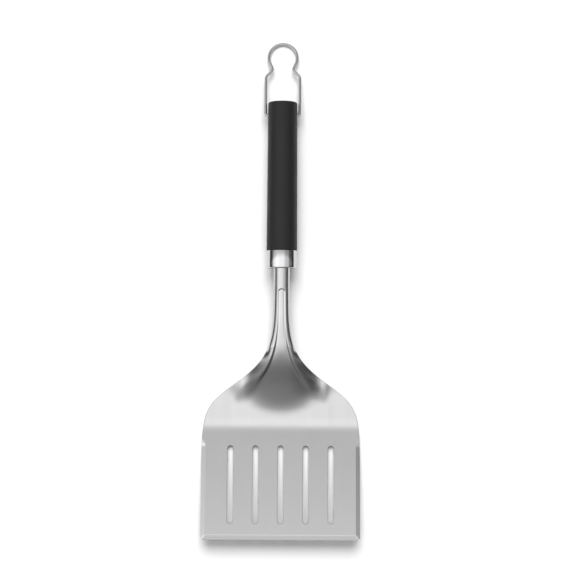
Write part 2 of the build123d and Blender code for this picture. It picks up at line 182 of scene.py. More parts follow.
# %% Brushing: noise stretched along Y, fine lines over broad bands
def brushing_group():
    """Mask of marks that are Length long for each unit of width, Fine marks to the metre across."""
    group, source, out = new_group("brushing", [("Fine", 2500.0), ("Length", 60.0)], ["Mask", "Bands"])
    place = add(group, "ShaderNodeTexCoord", (-900, -200))
    flat = add(group, "ShaderNodeSeparateXYZ", (-720, -200))
    shorter = add(group, "ShaderNodeMath", (-540, -260), operation="DIVIDE")
    stretched = add(group, "ShaderNodeCombineXYZ", (-360, -200))
    fine = add(group, "ShaderNodeTexNoise", (-160, 0), inputs={"Detail": 3.0, "Roughness": 0.6})
    broad_scale = add(group, "ShaderNodeMath", (-360, -420), operation="MULTIPLY", inputs={1: 0.08})
    broad = add(group, "ShaderNodeTexNoise", (-160, -320), inputs={"Detail": 2.0, "Roughness": 0.5})
    link = group.links.new
    link(place.outputs["Object"], flat.inputs[0])
    link(flat.outputs["Y"], shorter.inputs[0])
    link(source.outputs["Length"], shorter.inputs[1])
    link(flat.outputs["X"], stretched.inputs["X"])
    link(shorter.outputs[0], stretched.inputs["Y"])
    link(flat.outputs["Z"], stretched.inputs["Z"])
    link(stretched.outputs[0], fine.inputs["Vector"])
    link(source.outputs["Fine"], fine.inputs["Scale"])
    link(stretched.outputs[0], broad.inputs["Vector"])
    link(source.outputs["Fine"], broad_scale.inputs[0])
    link(broad_scale.outputs[0], broad.inputs["Scale"])
    link(fine.outputs["Fac"], out.inputs["Mask"])
    link(broad.outputs["Fac"], out.inputs["Bands"])
    return group


# %% Grain and handling
def grain_group():
    """Grain: fine noise of Scale to the metre. Patches: slow noise of Patch scale, for wear and touch."""
    group, _, out = new_group("grain", [("Scale", 3000.0), ("Patch scale", 40.0)], ["Grain", "Patches"])
    source = group.nodes["Group Input"]
    place = add(group, "ShaderNodeTexCoord", (-900, -200))
    fine = add(group, "ShaderNodeTexNoise", (-300, 0), inputs={"Detail": 4.0, "Roughness": 0.65})
    slow = add(group, "ShaderNodeTexNoise", (-300, -320), inputs={"Detail": 3.0, "Roughness": 0.55})
    link = group.links.new
    link(place.outputs["Object"], fine.inputs["Vector"])
    link(place.outputs["Object"], slow.inputs["Vector"])
    link(source.outputs["Scale"], fine.inputs["Scale"])
    link(source.outputs["Patch scale"], slow.inputs["Scale"])
    link(fine.outputs["Fac"], out.inputs["Grain"])
    link(slow.outputs["Fac"], out.inputs["Patches"])
    return group


BRUSHING = brushing_group()
GRAIN = grain_group()
print("shader groups:", [g.name for g in bpy.data.node_groups])

# %% [markdown]
# ## Finishes
# The head is bright stainless steel, brushed along its length before it was pressed: its gloss is
# blurred, and long faint marks change how blurred. The ferrule is polished and shows sharp
# reflections. The grip is a soft-touch rubber skin, almost black, with a fine pebble and a broad sheen
# at its edges. The hidden parts are zinc-plated steel and moulded plastic.


# %% A material with its Principled shader
def new_material(name, **constants):
    """A node material, its tree, its Principled shader and its base colour socket's place."""
    material = bpy.data.materials.new(name)
    material.use_nodes = True
    tree = material.node_tree
    shader = tree.nodes["Principled BSDF"]
    shader.location = (700, 0)
    for label, value in constants.items():
        shader.inputs[label.replace("_", " ")].default_value = value
    return material, tree, shader


def ramp_between(tree, mask, place, low, high, span=(0.3, 0.7)):
    """Mask carried to a range of numbers: span's two values of the mask give low and high."""
    node = add(tree, "ShaderNodeMapRange", place)
    node.inputs["From Min"].default_value, node.inputs["From Max"].default_value = span
    node.inputs["To Min"].default_value, node.inputs["To Max"].default_value = low, high
    tree.links.new(mask, node.inputs["Value"])
    return node.outputs["Result"]


def colour_between(tree, mask, place, dark, light):
    """Mask carried to a colour between dark and light."""
    node = add(tree, "ShaderNodeMix", place, data_type="RGBA")
    node.inputs["A"].default_value = (*dark, 1)
    node.inputs["B"].default_value = (*light, 1)
    tree.links.new(mask, node.inputs["Factor"])
    return next(socket for socket in node.outputs if socket.type == "RGBA")


def bump(tree, height, shader, place, distance, strength=1.0):
    """Height mask to the shader's normal, distance in metres."""
    node = add(tree, "ShaderNodeBump", place)
    node.inputs["Distance"].default_value = distance
    node.inputs["Strength"].default_value = strength
    tree.links.new(height, node.inputs["Height"])
    tree.links.new(node.outputs["Normal"], shader.inputs["Normal"])


# %% Brushed stainless steel
def brushed_steel(name, dark, light, rough, fine=2600.0, length=60.0, depth=6e-7):
    """Steel with long marks: they change its colour a little, its roughness more, and its surface."""
    material, tree, shader = new_material(name, Metallic=1.0)
    marks = use_group(tree, BRUSHING, (-600, 100), Fine=fine, Length=length)
    touch = use_group(tree, GRAIN, (-600, -300), Scale=900.0, Patch_scale=26.0)
    colour = colour_between(tree, marks.outputs["Mask"], (0, 250), dark, light)
    tree.links.new(colour, shader.inputs["Base Color"])
    blur = ramp_between(tree, marks.outputs["Bands"], (0, 0), rough[0], rough[1])
    spread = ramp_between(tree, touch.outputs["Patches"], (0, -200), -0.02, 0.02)
    total = add(tree, "ShaderNodeMath", (300, -60), operation="ADD")
    tree.links.new(blur, total.inputs[0])
    tree.links.new(spread, total.inputs[1])
    tree.links.new(total.outputs[0], shader.inputs["Roughness"])
    bump(tree, marks.outputs["Mask"], shader, (300, -300), depth)
    return material


# %% Polished chrome
def chrome(name, colour, rough):
    """Plating with a trace of handling: roughness that wanders, and hardly any grain."""
    material, tree, shader = new_material(name, Metallic=1.0)
    touch = use_group(tree, GRAIN, (-600, 0), Scale=2200.0, Patch_scale=60.0)
    tone = colour_between(
        tree, touch.outputs["Patches"], (0, 250), tuple(0.96 * c for c in colour), colour
    )
    tree.links.new(tone, shader.inputs["Base Color"])
    blur = ramp_between(tree, touch.outputs["Patches"], (0, 0), rough[0], rough[1])
    tree.links.new(blur, shader.inputs["Roughness"])
    bump(tree, touch.outputs["Grain"], shader, (300, -300), 4e-7)
    return material


# %% Soft-touch rubber and moulded plastic
def moulded(name, dark, light, rough, pebble, depth, coat=0.0):
    """Moulded skin: a pebble of that scale and depth, and roughness that handling has polished."""
    material, tree, shader = new_material(name, Metallic=0.0, Coat_Weight=coat)
    touch = use_group(tree, GRAIN, (-600, 0), Scale=pebble, Patch_scale=45.0)
    tone = colour_between(tree, touch.outputs["Patches"], (0, 250), dark, light)
    tree.links.new(tone, shader.inputs["Base Color"])
    blur = ramp_between(tree, touch.outputs["Patches"], (0, 0), rough[0], rough[1])
    tree.links.new(blur, shader.inputs["Roughness"])
    bump(tree, touch.outputs["Grain"], shader, (300, -300), depth)
    return material


STEEL = brushed_steel("brushed_stainless", (0.67, 0.67, 0.67), (0.73, 0.73, 0.73), (0.205, 0.235))
CHROME = chrome("polished_chrome", (0.75, 0.75, 0.76), (0.03, 0.06))
WIRE = chrome("bright_wire", (0.74, 0.74, 0.74), (0.07, 0.12))
RUBBER = moulded(
    "soft_touch_rubber", (0.009, 0.009, 0.0092), (0.014, 0.014, 0.0143), (0.46, 0.58), 3600.0, 2e-5
)
PLUG = moulded("plug_plastic", (0.022, 0.022, 0.023), (0.030, 0.030, 0.031), (0.45, 0.58), 5200.0, 1e-5)
CORE = moulded("core_plastic", (0.045, 0.045, 0.048), (0.060, 0.060, 0.063), (0.40, 0.55), 2600.0, 6e-6)
ZINC = brushed_steel("zinc_plated_steel", (0.50, 0.51, 0.53), (0.60, 0.61, 0.62), (0.32, 0.42), 1800.0, 6.0)
print("finishes:", [m.name for m in bpy.data.materials])

# %% [markdown]
# ## The stamped head
# One sheet of steel makes the blade, the shoulder, the fluted neck and the tube inside the handle. A
# straight box model would miss what the press does, so the sheet is worked out as a surface: station s
# runs from the blade's front edge to the shank's end, and q runs across half the sheet, from its middle
# to its cut edge. The formulas are the ones that the CAD part is lofted through.

# %% Sizes of the head, mm
BLADE_HALF = 65.4
PLATE_END = 84.0  # the flat blade's length
CORNER = 3.0  # plan radius of the two front corners
SHOULDER_MID = 128.4  # where the outline is halfway between blade and neck
SHOULDER_SOFT = (9.4, 10.2)  # softness of that outline on its blade side and its neck side
SOFT_SPAN = (100.0, 160.0)  # where the softness changes over
ROUND_OUT = 25.0  # the outline reaches the tube's width over this length
NECK_R = 6.75
SHANK_START = 212.0
SHANK_LENGTH = 24.0
FERRULE_AT = 218.1
SEAM_ANGLE = math.radians(173.0)
HEEL_ANGLE = 11.0
STEEP_ANGLE = 38.0
HEEL_BEND = (86.0, 103.0)  # stations where each bend starts and ends
STEEP_BEND = (97.0, 122.0)
NECK_BEND = (129.0, 163.0)
NECK_EASE = 3.5  # the neck starts this much steeper than the grip, in degrees
NECK_EASE_END = 206.0
HEIGHTS_END = 260.0
STEP = 0.05  # spacing of the stations at which the heights are summed
TUBE_SPAN = (130.0, 188.0)  # where the open section turns into a tube
TOE_R = 43.5  # plan radius of the line where the steep rise starts
TOE_BOW = 9.3  # how much later the rise starts away from the middle
BOW_LIMIT = 8  # sharpness of the turn from the toe's arc to its even part
EAR_SPAN = (30.0, 39.0)  # where the rise's toe comes forward again, from the middle
EAR_REACH = 3.2
RIDGE_SHARES = (0.70, 0.52)  # ridge between crest and flank, at the ear and at the neck
RIDGE_SPAN = (122.0, 146.0)
RIDGE_ROUND = 0.045  # softness of the ridge, as a share of the half width
FLANK_SLOPE = 0.46  # fall of the flank outside the ridge, per unit of width
KNEE = 4  # sharpness of the flank's foot
GROOVE_DEPTHS = (1.5, 0.7)  # at the shoulder and at the neck
GROOVE_TAPER = (140.0, 190.0)  # where it changes from the one to the other
GROOVE_COLUMN = 0.4  # the groove's wall follows this column of the sheet
GROOVE_SHARES = (0.56, 0.44)  # wall position as a share of the half width, at shoulder and at neck
GROOVE_WALL = (0.72, 1.12)  # the wall's foot and top, as shares of the groove's half width
GROOVE_FADE = (108.0, 132.0)  # where the groove runs out into the blade
GROOVE_END = 201.7  # round upper end of the groove
UNDER_WALL = 0.8  # the wall is this much nearer the middle when measured on the under face
SLOT_PITCH = 20.7
SLOT_HALF = 2.4
SLOT_SPAN = (13.6, 77.4)
SLOT_EDGE = 0.3
FRONT_BEVEL = 4.2
SIDE_BEVEL = 3.5
SIDE_BEVEL_END = 76.0
RUN_OUT_R = 16.0  # the grinding wheel's curve where the side bevel runs out
BEVEL_FALLS = (math.tan(math.radians(13.4)), math.tan(math.radians(17.0)))  # front and side
EDGE_ROUND = 0.15  # radius on the sheet's cut edges


# %% Outline and rise of the sheet
def mix(pair, share):
    """From pair's first value to its second as share goes from 0 to 1."""
    return pair[0] + (pair[1] - pair[0]) * share


def half_width(s):
    """Half the outline: a logistic curve from the blade's width to the neck's, exact at the shank."""
    soft = mix(SHOULDER_SOFT, smooth_step(*SOFT_SPAN, s))
    flare = (BLADE_HALF - NECK_R) / (1 + np.exp((s - SHOULDER_MID) / soft))
    return NECK_R + flare * (1 - smooth_step(SHANK_START - ROUND_OUT, SHANK_START, s))


def heel_slope(s):
    """Tangent of the heel's rise, level on the blade and HEEL_ANGLE beyond the first bend."""
    return np.tan(np.radians(HEEL_ANGLE * smooth_step(*HEEL_BEND, s)))


def crest_slope(s):
    """Tangent of the crest's rise: the heel's bend, the steep rise, then the neck's gentle one."""
    angle = HEEL_ANGLE * smooth_step(*HEEL_BEND, s)
    angle = angle + (STEEP_ANGLE - HEEL_ANGLE) * smooth_step(*STEEP_BEND, s)
    angle = angle - (STEEP_ANGLE - GRIP_ANGLE - NECK_EASE) * smooth_step(*NECK_BEND, s)
    return np.tan(np.radians(angle - NECK_EASE * smooth_step(NECK_BEND[1], NECK_EASE_END, s)))


STATIONS = np.arange(HEEL_BEND[0], HEIGHTS_END, STEP)
MIDWAY = (STATIONS[1:] + STATIONS[:-1]) / 2
HEEL_HEIGHTS = np.concatenate([[0], np.cumsum(heel_slope(MIDWAY) * STEP)])
CREST_HEIGHTS = np.concatenate([[0], np.cumsum(crest_slope(MIDWAY) * STEP)])


def crest_height(s):
    """Height of the crest: the running sum of its slope, read off between steps."""
    return np.interp(s, STATIONS, CREST_HEIGHTS)


def mound_height(s):
    """How far the crest stands above the heel's plane carried on."""
    return crest_height(s) - np.interp(s, STATIONS, HEEL_HEIGHTS)


print(f"heights summed at {len(STATIONS)} stations, up to {CREST_HEIGHTS[-1]:.1f} mm")

# %% A section of the sheet
def column_share(q, a):
    """r = a q + (1 - a) q^3: moves the columns so that one of them follows the groove's wall."""
    return a * q + (1 - a) * q**3


def toe_bow(x):
    """How much later the steep rise starts at x: an arc's sagitta x^2 / 2R, held back at the ears."""
    arc = x**2 / (2 * TOE_R)
    held = arc / (1 + (arc / TOE_BOW) ** BOW_LIMIT) ** (1 / BOW_LIMIT)
    return held - EAR_REACH * smooth_step(*EAR_SPAN, x)


def flared_drop(s, r):
    """Fall below the crest at share r of the half sheet, where the head is still open.

    The mound rises along its bowed toe. Outside the ridge a straight flank cuts it, and no part falls
    below the heel's plane: share = t / (1 + t^K)^(1/K), t = flank's fall over the mound's height.
    """
    x = half_width(s) * r
    mound = mound_height(s - toe_bow(x))
    ridge = mix(RIDGE_SHARES, smooth_step(*RIDGE_SPAN, s))
    past = RIDGE_ROUND * np.logaddexp(0, (r - ridge) / RIDGE_ROUND)
    t = FLANK_SLOPE * half_width(s) * past / (mound + 1e-6)
    cut = 1 / (1 + np.maximum(t, 1e-6) ** -KNEE) ** (1 / KNEE)
    return mound_height(s) - mound * (1 - cut)


def open_to_tube(s, r):
    """(out, drop) at share r of the half sheet: the open, flared section turns into a tube's arc.

    The tube is out = R sin(t), drop = R (1 - cos(t)). The mix of the two follows the station.
    """
    tube = smooth_step(*TUBE_SPAN, s)
    out = (1 - tube) * half_width(s) * r + tube * NECK_R * np.sin(SEAM_ANGLE * r)
    return out, (1 - tube) * flared_drop(s, r) + tube * NECK_R * (1 - np.cos(SEAM_ANGLE * r))


def column_bias(s):
    """The a of column_share for each station, found by halving, with the section's widest reach."""
    widest = open_to_tube(s[:, None], np.linspace(0, 1, 101)[None, :])[0].max(axis=1)
    wall = mix(GROOVE_SHARES, smooth_step(*GROOVE_TAPER, s))
    low, high = np.full(len(s), 0.05), np.full(len(s), 1.49)
    for _ in range(40):
        a = (low + high) / 2
        short = open_to_tube(s, column_share(GROOVE_COLUMN, a))[0] < wall * widest
        low, high = np.where(short, a, low), np.where(short, high, a)
    return a, widest


def sheet_points(s, q):
    """Ungrooved top face at stations s (down) and columns q (across), mm, and how far out to the wall."""
    a, widest = column_bias(s)
    r = column_share(q[None, :], a[:, None])
    out, drop = open_to_tube(s[:, None], r)
    lean = np.radians(GRIP_ANGLE) * smooth_step(STEEP_BEND[0], NECK_BEND[1], s)[:, None]
    x = out * (half_width(s) / widest)[:, None]
    y = s[:, None] + drop * np.sin(lean)
    z = crest_height(s)[:, None] - drop * np.cos(lean)
    return np.stack([x, y, z], -1), r / column_share(GROOVE_COLUMN, a)[:, None]


def groove_depth(s, to_wall):
    """Depth of the groove: full inside its wall, with a round end, fading out over the blade."""
    end_r = GROOVE_SHARES[1] * NECK_R
    past = np.maximum(0, s - (GROOVE_END - end_r)) / end_r
    distance = np.hypot(to_wall, past)
    depth = mix(GROOVE_DEPTHS, smooth_step(*GROOVE_TAPER, s)) * smooth_step(*GROOVE_FADE, s)
    return depth * (1 - smooth_step(*GROOVE_WALL, distance))


def formed_faces(s, q):
    """Top and under points of the pressed sheet, its normals, and its outward direction at q = 1."""
    near = 0.02
    centre, to_wall = sheet_points(s, q)
    along = sheet_points(s + near, q)[0] - sheet_points(s - near, q)[0]
    aside = sheet_points(s, q + near / 20)[0] - sheet_points(s, q - near / 20)[0]
    normal = np.cross(aside, along)
    normal /= np.linalg.norm(normal, axis=-1, keepdims=True)
    top = centre - normal * groove_depth(s[:, None], to_wall)[..., None]
    under = centre - normal * (SHEET + groove_depth(s[:, None], to_wall * UNDER_WALL))[..., None]
    outward = aside[:, -1] / np.linalg.norm(aside[:, -1], axis=-1, keepdims=True)
    return top, under, normal, outward


print(f"blade {2 * BLADE_HALF:.1f} mm wide, crest rises {crest_height(FERRULE_AT):.1f} mm to the ferrule")

# %% [markdown]
# ### Rows and columns of the flat blade
# The blade is flat, so its points may lie anywhere in the plane. The rows are set where the bevels, the
# corners and the slots' round ends need them. The columns are strung between control lines: the two
# sides of each slot, the crease of the side bevel and the cut edge. Between the slots' end and the
# first bend they slide over to the columns of the pressed part, so that the two meet point for point.

# %% Rows
HOLE_HALF = SLOT_HALF + SLOT_EDGE + 0.2  # the plate's opening for a slot and its rounded rim
HOLE_ENDS = (SLOT_SPAN[0] + SLOT_HALF, SLOT_SPAN[1] - SLOT_HALF)
ARC = np.radians(np.linspace(0, 90, 9))

front_rows = np.array([0, 0.02, 0.075, 0.15, 0.4, 0.7, 1.1, 1.6, 2.2, 3.0, 3.9, 4.2, 4.5, 5.5, 8.0])
low_arc = HOLE_ENDS[0] - HOLE_HALF * np.sin(ARC[::-1])
high_arc = HOLE_ENDS[1] + HOLE_HALF * np.sin(ARC)
straight = np.linspace(HOLE_ENDS[0], HOLE_ENDS[1], 20)[1:-1]
run_out = np.arange(79.2, PLATE_END - 0.1, 0.6)
plate_rows = np.concatenate([front_rows, low_arc, straight, high_arc, run_out])
hole_rows = (plate_rows >= low_arc[0]) & (plate_rows <= high_arc[-1])
shank_end = FERRULE_AT + SHANK_LENGTH * math.cos(math.radians(GRIP_ANGLE))
spans = ((PLATE_END, 180.0, 0.8), (180.0, 197.0, 0.9), (197.0, 205.0, 0.2), (205.0, FERRULE_AT, 0.8))
press_rows = np.concatenate([np.arange(*span) for span in spans] + [np.linspace(FERRULE_AT, shank_end, 9)])
print(len(plate_rows), "rows on the blade,", len(press_rows), "on the pressed part")

# %% Columns of half the blade
SLOT_LINES = (0.0, SLOT_PITCH, 2 * SLOT_PITCH)
BETWEEN = (11, 11, 11)  # columns in each web between slots, and out to the bevel
BEVEL_COLUMNS = 6
SLIVER = 0.4  # half the strip that carries on from a slot to the blade's ends
CREASE_HALF = 0.25  # the bevel's crease has a column this far on each side
EDGE_LAND = 0.9  # the crease stays this far inside the cut edge


def hole_half(y):
    """Half the opening at row y: a stadium's half width, and a sliver beyond its ends."""
    past = np.maximum(HOLE_ENDS[0] - y, y - HOLE_ENDS[1])
    inside = np.sqrt(np.clip(HOLE_HALF**2 - np.clip(past, 0, None) ** 2, 0, None))
    return np.where(past > HOLE_HALF + 1e-6, SLIVER, np.where(past > 0, inside, HOLE_HALF))


def edge_of(y):
    """Half the blade's outline at row y, with the round front corner."""
    corner = np.clip(CORNER - y, 0, None)
    return half_width(y) - CORNER + np.sqrt(CORNER**2 - corner**2)


def bevel_rise(y):
    """How far the grinding wheel has lifted off at row y: the circle of the run-out."""
    past = np.clip(y - SIDE_BEVEL_END, 0, 0.9 * RUN_OUT_R)
    return RUN_OUT_R - np.sqrt(RUN_OUT_R**2 - past**2)


def bevel_line(y):
    """Where the side bevel starts at row y; it runs out to the edge where the wheel lifts off."""
    start = BLADE_HALF - SIDE_BEVEL + bevel_rise(y) / math.sin(math.atan(BEVEL_FALLS[1]))
    return np.minimum(start, edge_of(y) - EDGE_LAND)


def blade_columns(y):
    """x of every column of the right half at rows y: even steps between the control lines."""
    half, edge = hole_half(y), edge_of(y) - EDGE_ROUND
    crease = bevel_line(y)
    blocks, left = [half[:, None]], half
    for line, count in zip(SLOT_LINES[1:], BETWEEN):
        share = np.linspace(0, 1, count + 1)[1:]
        blocks.append(left[:, None] + (line - half - left)[:, None] * share)
        blocks.append((line + half)[:, None])
        left = line + half
    share = np.linspace(0, 1, BETWEEN[-1] + 1)[1:]
    blocks.append(left[:, None] + (crease - CREASE_HALF - left)[:, None] * share)
    blocks.append(crease[:, None])
    share = np.linspace(0, 1, BEVEL_COLUMNS)
    blocks.append((crease + CREASE_HALF)[:, None] + (edge - crease - CREASE_HALF)[:, None] * share)
    return np.concatenate(blocks, axis=1)


def blade_height(x, y):
    """Height of the blade's top face: zero, or lower where the front or the side bevel is ground."""
    front = -(FRONT_BEVEL - y) * BEVEL_FALLS[0]
    lift = bevel_rise(y) / math.cos(math.atan(BEVEL_FALLS[1]))
    side = -(x - (BLADE_HALF - SIDE_BEVEL)) * BEVEL_FALLS[1] + lift
    return np.minimum(0, np.minimum(front, side))


COLUMN_COUNT = blade_columns(plate_rows[:1]).shape[1]
SLOT_COLUMNS = [BETWEEN[0], BETWEEN[0] + BETWEEN[1] + 1]  # the column left of each outer slot
q_columns = (np.arange(COLUMN_COUNT) + 0.5) / (COLUMN_COUNT - 0.5)
print(COLUMN_COUNT, "columns on each half")

# %% [markdown]
# ### Wrapping the sheet
# Each row becomes a closed ring: over the top from left to right, round the cut edge, back underneath
# and round the other edge. Rings joined one after the other make the skin. The quads inside a slot are
# left out, and a slot's rounded rim is a ring of its own, swept round the slot's outline. Last, the
# front edge and the shank's end are closed.

# %% Right half of the sheet, top and under
press_top, press_under, press_normal, press_out = formed_faces(press_rows, q_columns)
x_blade = blade_columns(plate_rows)
x_press = sheet_points(plate_rows, q_columns)[0][..., 0]
x_press[:, -1] -= EDGE_ROUND
slide = smooth_step(HOLE_ENDS[1] + HOLE_HALF, PLATE_END, plate_rows)[:, None]
x_plate = mix((x_blade, x_press), slide)
y_plate = np.broadcast_to(plate_rows[:, None], x_plate.shape)
front_inset = EDGE_ROUND - np.sqrt(EDGE_ROUND**2 - np.clip(EDGE_ROUND - y_plate, 0, None) ** 2)
plate_top = np.stack([x_plate, y_plate, blade_height(x_plate, y_plate) - front_inset], -1)
plate_under = np.stack([x_plate, y_plate, front_inset - SHEET], -1)

press_top[:, -1] -= press_out * EDGE_ROUND
press_under[:, -1] -= press_out * EDGE_ROUND
half_top = np.concatenate([plate_top, press_top])
half_under = np.concatenate([plate_under, press_under])
rim_out = np.concatenate([np.tile([1.0, 0, 0], (len(plate_rows), 1)), press_out])
rim_up = np.concatenate([np.tile([0, 0, 1.0], (len(plate_rows), 1)), press_normal[:, -1]])
print("right half:", half_top.shape[0], "rows of", half_top.shape[1], "points on each face")


# %% Rings round the sheet
def mirrored(half):
    """The same points on the other side of the middle plane, in reverse order."""
    return half[:, ::-1] * [-1, 1, 1]


def edge_arc(start, out, down):
    """Quarter round from a face's last point: out by R sin(t) and down by R (1 - cos(t))."""
    t = np.radians([30, 60, 90])[None, :, None]
    return start[:, None] + EDGE_ROUND * (out[:, None] * np.sin(t) + down[:, None] * (1 - np.cos(t)))


rim_over = edge_arc(half_top[:, -1], rim_out, -rim_up)
rim_below = edge_arc(half_under[:, -1], rim_out, rim_up)
over = np.concatenate([mirrored(rim_over), mirrored(half_top), half_top, rim_over], axis=1)
below = np.concatenate([mirrored(rim_below), mirrored(half_under), half_under, rim_below], axis=1)
rings = np.concatenate([over, below[:, ::-1]], axis=1)
row_count, ring_size = rings.shape[:2]
numbers = np.arange(row_count * ring_size).reshape(row_count, ring_size)
print("rings:", rings.shape)

# %% Leave out the quads inside the slots, and close both ends
middle = len(ARC[:3]) + COLUMN_COUNT
open_columns = [middle - 1]
open_columns += [middle + k for k in SLOT_COLUMNS] + [middle - 2 - k for k in SLOT_COLUMNS]
keep = np.ones((row_count - 1, ring_size), bool)
hole_steps = np.flatnonzero(hole_rows[:-1] & hole_rows[1:])
for column in open_columns:
    keep[hole_steps, column] = False
    keep[hole_steps, ring_size - 2 - column] = False
skin = grid_faces(closed(numbers), keep)
half_ring = ring_size // 2
end_caps = [
    np.stack([row[:half_ring], row[::-1][:half_ring]]) for row in (numbers[0], numbers[-1])
]
caps = np.concatenate([grid_faces(pair) for pair in end_caps])
print(len(skin), "quads round the sheet,", len(caps), "on its two ends")

# %% A slot's rim
hole_y = plate_rows[hole_rows]
hole_x = hole_half(hole_y)
past_end = np.where(hole_y < HOLE_ENDS[0], hole_y - HOLE_ENDS[0], np.clip(hole_y - HOLE_ENDS[1], 0, None))
outline = np.stack([hole_x, hole_y], -1)
facing = np.stack([np.where(past_end == 0, 1.0, hole_x / HOLE_HALF), past_end / HOLE_HALF], -1)
outline = np.concatenate([outline, outline[::-1] * [-1, 1]])
facing = np.concatenate([facing, facing[::-1] * [-1, 1]])
quarter = np.radians([0, 22.5, 45, 67.5, 90])
rim_in = np.concatenate([[0], HOLE_HALF - SLOT_HALF - SLOT_EDGE * (1 - np.sin(quarter))])
rim_down = np.concatenate([[0], SLOT_EDGE * (1 - np.cos(quarter))])
rim_in = np.concatenate([rim_in, rim_in[::-1]])
rim_down = np.concatenate([rim_down, SHEET - rim_down[::-1]])


def slot_rim(centre):
    """The outline moved inwards and down by a profile: flat, quarter round, wall, quarter round, flat."""
    flat = outline[:, None] - facing[:, None] * rim_in[None, :, None]
    down = np.broadcast_to(-rim_down[None, :, None], (*flat.shape[:2], 1))
    return np.concatenate([flat, down], -1) + [centre, 0, 0]


points, faces = [rings.reshape(-1, 3)], [skin, caps]
for index in range(-2, 3):
    rim = slot_rim(index * SLOT_PITCH)
    start = sum(len(block) for block in points)
    count = np.arange(rim.shape[0] * rim.shape[1]).reshape(rim.shape[:2]) + start
    faces.append(grid_faces(np.concatenate([count, count[:1]])))
    points.append(rim.reshape(-1, 3))
make_piece(
    "stamped_head", head_to_world(np.concatenate(points)), np.concatenate(faces),
    STEEL, "tool", "blade_head", "blade_steel",
)

# %% [markdown]
# ## The handle's turned pieces
# Ferrule, grip and end plug are all round, so each is a profile carried round the handle's axis. A
# profile is a few corners with a radius each. The grip has one more feature: on each side a small hole
# takes the end of the wire, and its edge is drawn in a little. It is worked out as a dip of the radius
# around those two points, so the grip stays one closed surface.


# %% Profiles with rounded corners
def rounded_line(corners, radii, steps=6):
    """A line through corners, each corner replaced by an arc of its radius, tangent to both runs."""
    corners = np.array(corners, float)
    parts = [corners[:1]]
    for before, at, after, radius in zip(corners[:-2], corners[1:-1], corners[2:], radii):
        if radius == 0:
            parts.append(at[None])
            continue
        u = (before - at) / np.linalg.norm(before - at)
        v = (after - at) / np.linalg.norm(after - at)
        half = math.acos(np.clip(u @ v, -1, 1)) / 2
        middle_way = (u + v) / np.linalg.norm(u + v)
        centre = at + middle_way * radius / math.sin(half)
        turn = math.pi / 2 - half
        aside = (u - v) / np.linalg.norm(u - v)
        t = np.linspace(turn, -turn, steps + 1)[:, None]
        parts.append(centre + radius * (aside * np.sin(t) - middle_way * np.cos(t)))
    return np.concatenate([*parts, corners[-1:]])


def denser(line, step):
    """The same line with points added so that no run is longer than step."""
    pieces = []
    for a, b in zip(line[:-1], line[1:]):
        count = max(1, math.ceil(np.linalg.norm(b - a) / step))
        pieces.append(a + (b - a) * np.arange(count)[:, None] / count)
    return np.concatenate([*pieces, line[-1:]])


def lathe(profile, segments=224, dip=None):
    """(r, h) carried round the axis: across = r sin(t), upward = r cos(t); dip lowers r where it says."""
    t = np.linspace(0, 2 * math.pi, segments, endpoint=False)[None, :]
    r, h = np.broadcast_arrays(profile[:, :1], profile[:, 1:] + 0 * t)
    r = r + 0 * t if dip is None else r - dip(r, t, h)
    surface = handle_to_world(r * np.sin(t), r * np.cos(t), h)
    count = np.arange(surface.shape[0] * segments).reshape(-1, segments)
    return surface.reshape(-1, 3), grid_faces(closed(count))


# %% Ferrule
FERRULE_R = 12.4
FERRULE_LEN = 14.6
FERRULE_FLOOR = 1.6
SLIDE_GAP = 0.08
CORE_R = 10.2
BORE = CORE_R + SLIDE_GAP
HOLE = NECK_R + SLIDE_GAP
ferrule_corners = [
    (HOLE, FERRULE_FLOOR), (HOLE, 0), (FERRULE_R, 0), (FERRULE_R, FERRULE_LEN),
    (BORE, FERRULE_LEN), (BORE, FERRULE_FLOOR), (HOLE, FERRULE_FLOOR),
]
ferrule_profile = rounded_line(ferrule_corners, (0.25, 1.0, 0.3, 0.2, 0.2))
make_piece("ferrule_shell", *lathe(ferrule_profile), CHROME, "tool", "ferrule", "ferrule_chrome")

# %% Grip
GRIP_R = (12.5, 11.9)
GRIP_END = 136.3
GRIP_FILLET = 1.6
CORE_END = 134.0
LIP = 8.5 + SLIDE_GAP
WIRE_R = 1.2
EYE_R = WIRE_R + 0.45
EYE_EDGE = (EYE_R - 0.25, EYE_R + 0.35)  # from full depth to none, from the eye's middle
EYE_DEPTH = 2.2
EYE_STRETCH = (2.6, 0.2)  # how far the fine rows reach round the eye, and their spacing
grip_corners = [
    (CORE_R, FERRULE_LEN), (GRIP_R[0], FERRULE_LEN), (GRIP_R[1], GRIP_END), (LIP, GRIP_END),
    (LIP, CORE_END), (CORE_R, CORE_END), (CORE_R, FERRULE_LEN),
]
grip_profile = rounded_line(grip_corners, (0.35, GRIP_FILLET, 0.3, 0.1, 0.1), steps=8)


def eye_dip(r, t, h):
    """How far the outside is drawn in round the wire's two holes: full inside, a soft edge outside."""
    outside = r > CORE_R + 0.5
    beside = r * np.abs(np.abs(np.remainder(t, 2 * math.pi) - math.pi) - math.pi / 2)
    away = np.hypot(beside, h - PIVOT_AT)
    return np.where(outside, EYE_DEPTH * (1 - smooth_step(*EYE_EDGE, away)), 0)


def with_fine_stretch(profile, centre, reach, step):
    """Adds close rows to the outer run of the profile, within reach of centre along the axis."""
    r, h = profile.T
    row = np.flatnonzero((h[:-1] < centre) & (h[1:] > centre) & (r[:-1] > CORE_R + 1))[0]
    share = np.linspace(0, 1, 1000)
    run = profile[row] + (profile[row + 1] - profile[row]) * share[:, None]
    close = run[np.abs(run[:, 1] - centre) < reach]
    close = close[:: max(1, int(step / (run[1, 1] - run[0, 1])))]
    return np.concatenate([profile[: row + 1], close, profile[row + 1 :]])


